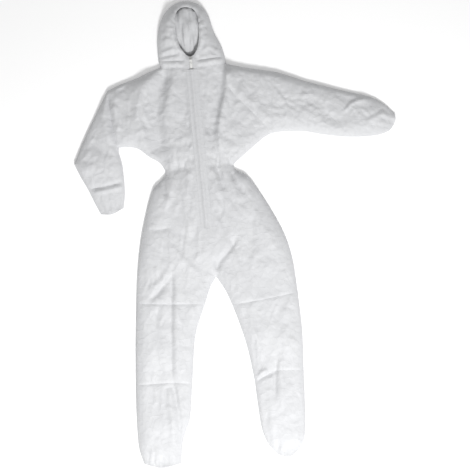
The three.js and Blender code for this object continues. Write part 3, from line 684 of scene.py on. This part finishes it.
def material(name, colour, shade, roughness, web=0.0, pitch=1.6, creases=0.3, crease_size=40.0,
             ribs=0.0, rib_pitch=1.2, rib_axis="X", sheen=0.0, coat=0.0):
    """colour and shade are mixed over the surface; web, creases and ribs are depths in mm. pitch is
    the spacing of the web's dots and rib_pitch that of the ribs, in mm."""
    mat = bpy.data.materials.new(name)
    mat.use_nodes = True
    tree = mat.node_tree
    skin = tree.nodes["Principled BSDF"]
    skin.inputs["Roughness"].default_value = roughness
    skin.inputs["Sheen Weight"].default_value = sheen
    skin.inputs["Coat Weight"].default_value = coat
    coords = node(tree, "ShaderNodeTexCoord")
    where = coords.outputs["Object"]
    marks = node(tree, "ShaderNodeGroup", node_tree=HANDLING)
    marks.inputs["Crease size"].default_value = crease_size
    tree.links.new(where, marks.inputs["Vector"])
    tone = node(tree, "ShaderNodeMix", [("Factor", marks.outputs["Drift"])], data_type="RGBA")
    tone.inputs["A"].default_value = (*colour, 1)
    tone.inputs["B"].default_value = (*shade, 1)
    worn = node(tree, "ShaderNodeMix", [("Factor", marks.outputs["Worn"]),
                                        ("A", tone.outputs["Result"])], data_type="RGBA")
    worn.inputs["B"].default_value = (*[c * 0.97 for c in shade], 1)
    tree.links.new(worn.outputs["Result"], skin.inputs["Base Color"])
    rough = node(tree, "ShaderNodeMapRange", [(0, marks.outputs["Drift"]), (1, 0.3), (2, 0.7),
                                              (3, roughness - 0.06), (4, roughness + 0.06)])
    tree.links.new(rough.outputs[0], skin.inputs["Roughness"])
    bump = node(tree, "ShaderNodeBump", [("Height", marks.outputs["Height"]), ("Strength", 1.0),
                                         ("Distance", creases * MM)])
    if web:
        dots = node(tree, "ShaderNodeGroup", node_tree=BONDED_WEB)
        dots.inputs["Pitch"].default_value = pitch
        tree.links.new(where, dots.inputs["Vector"])
        bump = node(tree, "ShaderNodeBump", [("Height", dots.outputs["Height"]), ("Strength", 1.0),
                                             ("Distance", web * MM), ("Normal", bump.outputs[0])])
    if ribs:
        wave = node(tree, "ShaderNodeTexWave", [("Vector", where), ("Scale", 1000 / rib_pitch / 6.283),
                                                ("Distortion", 0.4)], bands_direction=rib_axis)
        bump = node(tree, "ShaderNodeBump", [("Height", wave.outputs["Fac"]), ("Strength", 1.0),
                                             ("Distance", ribs * MM), ("Normal", bump.outputs[0])])
    tree.links.new(bump.outputs[0], skin.inputs["Normal"])
    return mat


WHITE = (0.625, 0.63, 0.64)
NONWOVEN = material("Bonded nonwoven", WHITE, (0.59, 0.595, 0.61), 0.62, web=0.12, creases=0.9,
                    sheen=0.08)
ELASTIC = material("Gathered elastic", (0.76, 0.76, 0.75), (0.70, 0.70, 0.69), 0.7, ribs=0.25,
                   rib_pitch=1.6, creases=0.15)
TAPE = material("Woven zip tape", (0.78, 0.78, 0.78), (0.72, 0.72, 0.72), 0.7, ribs=0.12,
                rib_pitch=0.8, rib_axis="Y", creases=0.1)
NYLON = material("Zip nylon", (0.80, 0.80, 0.79), (0.76, 0.76, 0.74), 0.36, creases=0.03,
                 crease_size=300.0, coat=0.15)
THREAD = material("Seam thread", (0.74, 0.745, 0.76), (0.68, 0.69, 0.70), 0.6, ribs=0.05,
                  rib_pitch=0.5, creases=0.03)
LINER = material("Adhesive strip", (0.77, 0.78, 0.70), (0.72, 0.73, 0.66), 0.32, creases=0.12,
                 crease_size=90.0, coat=0.2)


def finished(obj, mat, slot, *nodes):
    obj.data.materials.clear()
    obj.data.materials.append(mat)
    if nodes:
        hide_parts(*nodes)
    return obj


# Piece: the CAD nodes it stands for, the two bodies it lies between, the direction from the first
# to the second, where the piece starts and ends along it in metres, and the flat width, length and
# area of its cloth.
LEFT_ARM, LEFT_FOREARM = (0.881, 0.473), (0.967, -0.254)
RIGHT_ARM, RIGHT_FOREARM = (-0.35, -0.937), (0.208, -0.978)
RIGHT_SHIN, LEFT_SHIN = (-0.113, -0.9936), (0.0698, -0.9976)
FABRIC = {
    "hood": (["hood_centre", "hood_right", "hood_left"], "torso", "hood", (0, 1), 0.453, 0.495,
             (0.56, 0.25, 0.105)),
    "torso": (["back_panel", "front_right", "front_left", "crotch_gusset", "collar_band"],
              "torso", None, None, 0, 0, (1.34, 1.03, 0.99)),
    "left_sleeve": (["left_sleeve_upper_back", "left_sleeve_upper_front"], "torso",
                    "left_upper_arm", LEFT_ARM, 0.326, 0.440, (0.60, 0.34, 0.135)),
    "left_forearm": (["left_sleeve_lower_back", "left_sleeve_lower_front"], "left_upper_arm",
                     "left_forearm", LEFT_FOREARM, 0.406, 0.585, (0.44, 0.37, 0.115)),
    "right_sleeve": (["right_sleeve_upper_back", "right_sleeve_upper_front"], "torso",
                     "right_upper_arm", RIGHT_ARM, 0.006, 0.074, (0.42, 0.31, 0.085)),
    "right_forearm": (["right_sleeve_lower_back", "right_sleeve_lower_front"], "right_upper_arm",
                      "right_forearm", RIGHT_FOREARM, -0.105, -0.01, (0.40, 0.22, 0.070)),
    "right_thigh": (["right_thigh_back", "right_thigh_front"], "torso", "right_thigh", (0, -1),
                    0.558, 0.700, (0.58, 0.35, 0.166)),
    "right_shin": (["right_shin_back", "right_shin_front"], "right_thigh", "right_shin",
                   RIGHT_SHIN, 0.8966, 0.958, (0.48, 0.35, 0.136)),
    "left_thigh": (["left_thigh_back", "left_thigh_front"], "torso", "left_thigh", (0, -1),
                   0.572, 0.710, (0.56, 0.35, 0.150)),
    "left_shin": (["left_shin_back", "left_shin_front"], "left_thigh", "left_shin",
                  LEFT_SHIN, 0.9036, 0.966, (0.42, 0.36, 0.118)),
}
CLOTH_WALL = 0.6 * MM


def fasten(obj, body, second=None):
    if second is None:
        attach(obj, body)
    else:
        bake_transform(obj)
    return obj


for piece_name, (nodes, body, second, direction, start, end, cut) in FABRIC.items():
    cloth = walled(fabric_piece(piece_name), CLOTH_WALL)
    finished(cloth, NONWOVEN, "nonwoven", *nodes)
    fasten(cloth, body, second)


# ---------------------------------------------------------------- elastics
ELASTIC_WALL = 0.7 * MM


def cuff_elastic(name, node_name, cuff, inward, piece):
    """A band inside a cuff, just behind its edge."""
    line = LINES[cuff]
    toward = np.array(inward) / np.linalg.norm(inward)
    near, far = line + toward * 6 * MM, line + toward * 15 * MM
    rings = []
    for row in (near, far):
        row = row[1:-1]
        top = [(x, y, max(z - 1.6 * MM, 2.5 * MM)) for x, y, z in on_front(row)]
        low = [(x, y, z + 1.0 * MM) for x, y, z in on_back(row)]
        rings.append(top + low[::-1] + top[:1])
    band = walled(ribbon(name, *rings), ELASTIC_WALL, 0.0)
    finished(band, ELASTIC, "elastic", node_name)
    _, body, second, direction, start, end, _ = FABRIC[piece]
    fasten(band, body, second)


cuff_elastic("left_wrist_band", "left_wrist_elastic", "wrist_left", (-1, 0.2), "left_forearm")
cuff_elastic("right_wrist_band", "right_wrist_elastic", "wrist_right", (-0.1, 1), "right_forearm")
cuff_elastic("right_ankle_band", "right_ankle_elastic", "ankle_right", (0.05, 1), "right_shin")
cuff_elastic("left_ankle_band", "left_ankle_elastic", "ankle_left", (-0.05, 1), "left_shin")

waist_row = np.column_stack([np.linspace(-0.138, 0.124, 60), np.full(60, WAIST_Y)])
waist_low = [(x, y - 5 * MM, z + 0.9 * MM) for x, y, z in on_back(waist_row)]
waist_high = [(x, y + 5 * MM, z + 0.9 * MM) for x, y, z in on_back(waist_row)]
waist_band = walled(ribbon("waist_band", waist_low, waist_high), ELASTIC_WALL, 0.0)
finished(waist_band, ELASTIC, "elastic", "waist_elastic")
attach(waist_band, "torso")

face_out = np.vstack([FACE, FACE[:1]])
face_ahead = np.gradient(face_out, axis=0)
face_ahead /= np.linalg.norm(face_ahead, axis=1)[:, None]
face_away = np.column_stack([-face_ahead[:, 1], face_ahead[:, 0]])
if np.sum((face_out - face_out.mean(0)) * face_away) < 0:
    face_away = -face_away
face_near = on_front(face_out + face_away * 0.5 * MM, -1.2 * MM)
face_far = on_front(face_out + face_away * 7 * MM, -1.3 * MM)
face_band = walled(ribbon("face_band", face_near, face_far), ELASTIC_WALL, 0.0)
finished(face_band, ELASTIC, "elastic", "face_elastic")
_, body, second, direction, start, end, _ = FABRIC["hood"]
fasten(face_band, body, second)

# ---------------------------------------------------------------- zip
for side in ("right", "left"):
    finished(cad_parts[f"zip_tape_{side}"], TAPE, "zip_tape")
    finished(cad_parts[f"zip_top_stop_{side}"], NYLON, "zip_plastic")
finished(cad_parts["zip_bottom_stop"], NYLON, "zip_plastic")
finished(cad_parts["slider_body"], NYLON, "zip_plastic")
finished(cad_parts["pull_tab"], NYLON, "zip_plastic")


def coil(side):
    """A row of the zip's coil: one small bent tooth after another."""
    node_name = f"zip_teeth_{side}"
    low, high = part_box(node_name)
    pitch = 2.6 * MM
    shift = 0 if side == "right" else pitch / 2
    bm = bmesh.new()
    y = low[1] + pitch / 2 + shift
    while y < high[1] - pitch / 2:
        tooth = bmesh.ops.create_icosphere(bm, subdivisions=1, radius=0.5)
        bmesh.ops.scale(bm, vec=(high[0] - low[0], pitch * 0.62, high[2] - low[2]),
                        verts=tooth["verts"])
        middle = ((low[0] + high[0]) / 2, y, (low[2] + high[2]) / 2)
        bmesh.ops.translate(bm, vec=middle, verts=tooth["verts"])
        y += pitch
    row = finished(object_of(f"zip_coil_{side}", bm), NYLON, "zip_plastic", node_name)
    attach(row, "torso")


coil("right")
coil("left")

# ---------------------------------------------------------------- storm flap
low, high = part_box("storm_flap")
flap_x = np.linspace(low[0], high[0], 23)
flap_y = np.linspace(low[1], high[1], 150)
FLAP_BASE = low[2]
FLAP_HEM = 22 * MM  # from the middle to where the cloth lies flat again
bm = bmesh.new()
rows = []
for y in flap_y:
    drift = 1.6 * MM * noise.noise(Vector((0, y / 0.07, 3)))
    swell = 1 + 0.22 * noise.noise(Vector((1, y / 0.035, 9)))
    row = []
    for x in flap_x:
        arch = math.exp(-(((x - drift) / (8.6 * MM)) ** 2))
        pinch = 0.45 * MM * noise.noise(Vector((x / 0.012, y / 0.016, 1)))
        edge = min(1.0, (FLAP_HEM - abs(x)) / (6 * MM))
        z = FLAP_BASE + 0.6 * MM + (5.9 * MM * swell * arch + pinch) * max(0.0, edge)
        row.append(bm.verts.new((x, y, max(z, FLAP_BASE + 0.5 * MM))))
    rows.append(row)
for one, other in zip(rows, rows[1:]):
    for a, b, c, d in zip(one, one[1:], other[1:], other):
        bm.faces.new((a, b, c, d))
flap = walled(object_of("storm_flap_cloth", bm), CLOTH_WALL)
finished(flap, NONWOVEN, "nonwoven", "storm_flap")
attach(flap, "flap")
finished(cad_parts["flap_adhesive_strip"], LINER, "adhesive_liner")

# ---------------------------------------------------------------- stitched seams
SEAMS = {
    "collar_stitching": [(-124, 425), (-60, 414), (-24, 411)],
    "collar_stitching_left": [(24, 410), (72, 410), (140, 415)],
    "raglan_stitching_right": [(-108, 414), (-158, 352), (-184, 300), (-205, 230), (-209, 180),
                               (-190, 110), (-155, 48)],
    "raglan_stitching_left": [(142, 404), (138, 340), (122, 270), (98, 205), (82, 128), (82, 30)],
}
for seam_name, line in SEAMS.items():
    seam = finished(stitches(seam_name, line, 0.1 * MM), THREAD, "nonwoven")
    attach(seam, "torso")


def flap_height(points):
    return np.full(len(points), FLAP_BASE + 0.65 * MM)


for side, x in (("right", -19.5), ("left", 19.5)):
    row = stitches(f"flap_stitching_{side}", [(x, -244), (x, 90), (x, 400)], 0, flap_height)
    finished(row, THREAD, "nonwoven")
    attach(row, "flap")

# ---------------------------------------------------------------- floor, light and camera
bm = bmesh.new()
bmesh.ops.create_grid(bm, x_segments=1, y_segments=1, size=6.0)
bmesh.ops.translate(bm, vec=(0, 0, -0.001), verts=bm.verts)
floor = object_of("floor", bm)
paper = bpy.data.materials.new("Pale floor")
paper.use_nodes = True
paper_skin = paper.node_tree.nodes["Principled BSDF"]
paper_skin.inputs["Base Color"].default_value = (0.97, 0.97, 0.97, 1)
paper_skin.inputs["Roughness"].default_value = 0.9
paper_skin.inputs["Emission Color"].default_value = (1, 1, 1, 1)
paper_skin.inputs["Emission Strength"].default_value = 0.07
floor.data.materials.append(paper)


def lamp(name, place, size, power, aim=(0, -0.3, 0)):
    light = bpy.data.lights.new(name, "AREA")
    light.size = size
    light.energy = power
    obj = bpy.data.objects.new(name, light)
    obj.location = place
    obj.rotation_euler = (Vector(aim) - Vector(place)).to_track_quat("-Z", "Y").to_euler()
    bpy.context.scene.collection.objects.link(obj)


lamp("key", (0.5, -3.0, 3.1), 0.8, 144)
lamp("fill", (0.1, -0.6, 3.0), 1.0, 10)
world = bpy.data.worlds.new("studio")
world.use_nodes = True
world.node_tree.nodes["Background"].inputs[0].default_value = (1, 1, 1, 1)
world.node_tree.nodes["Background"].inputs[1].default_value = 0.46
bpy.context.scene.world = world

VIEW_WIDTH, CAMERA_HEIGHT = 1.927, 6.0
camera = bpy.data.cameras.new("camera")
camera.sensor_width = 36
camera.lens = 36 * (CAMERA_HEIGHT - 0.03) / VIEW_WIDTH
camera_object = bpy.data.objects.new("camera", camera)
camera_object.location = (0.112, -0.287, CAMERA_HEIGHT)
camera_object.rotation_euler = (0, 0, math.radians(-5.5))
bpy.context.scene.collection.objects.link(camera_object)
bpy.context.scene.camera = camera_object
bpy.context.scene.view_settings.view_transform = "Standard"
